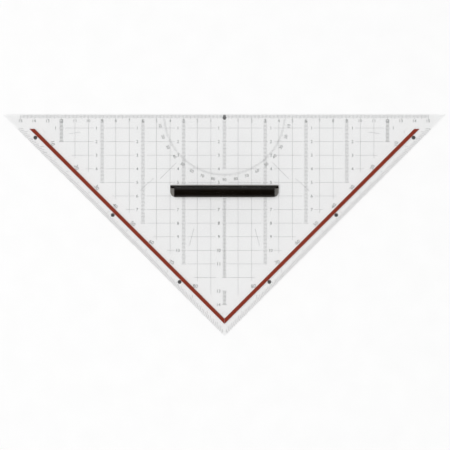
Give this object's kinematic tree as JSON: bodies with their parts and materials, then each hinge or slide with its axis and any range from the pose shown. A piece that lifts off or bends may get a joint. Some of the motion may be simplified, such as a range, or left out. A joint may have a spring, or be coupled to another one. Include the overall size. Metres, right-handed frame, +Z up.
{
  "type": "geometry set square",
  "caption": "Clear 45 degree drafting triangle with zero-centred edge scale, centimetre grid, protractor, angle marks, red inlaid strips and a pull-off handle.",
  "frame": {"origin": "on the surface that the set square lies on, under the middle of its bounding box", "axes": "+X along the hypotenuse, +Y from the right angle towards the hypotenuse, +Z up out of the plate's top face"},
  "size_m": [0.325, 0.163, 0.0164],
  "materials": {
    "clear_acrylic": "clear polished acrylic",
    "red_strip": "opaque brick red, satin",
    "base_plastic": "moulded, fine satin grain",
    "grip_plastic": "moulded black, semi-gloss",
    "grey_ink": "thin printed line work",
    "black_ink": "thin printed line work"
  },
  "bodies": {
    "plate": {"plate": "clear_acrylic", "strip_left": "red_strip", "strip_right": "red_strip", "print_column_left_12": "grey_ink", "print_column_left_3": "grey_ink", "print_column_left_6": "grey_ink", "print_column_left_9": "grey_ink", "print_column_middle_lower": "black_ink", "print_column_middle_tip": "grey_ink", "print_column_middle_upper": "grey_ink", "print_column_right_12": "grey_ink", "print_column_right_3": "grey_ink", "print_column_right_6": "grey_ink", "print_column_right_9": "grey_ink", "print_degrees_left": "grey_ink", "print_degrees_right": "grey_ink", "print_edge_scale": "grey_ink", "print_grid": "grey_ink", "print_protractor_arc": "grey_ink", "mark_left_42_degrees": "black_ink", "mark_left_75_degrees": "black_ink", "mark_left_7_degrees": "black_ink", "mark_right_42_degrees": "black_ink", "mark_right_75_degrees": "black_ink", "mark_right_7_degrees": "black_ink", "mark_zero": "grey_ink"},
    "handle": {"handle_base": "base_plastic", "handle_grip": "grip_plastic"}
  },
  "joints": [
    {"name": "handle_lift", "type": "slide", "parent": "plate", "child": "handle", "axis": [0, 0, 1], "range_m": [0, 0.02]}
  ]
}
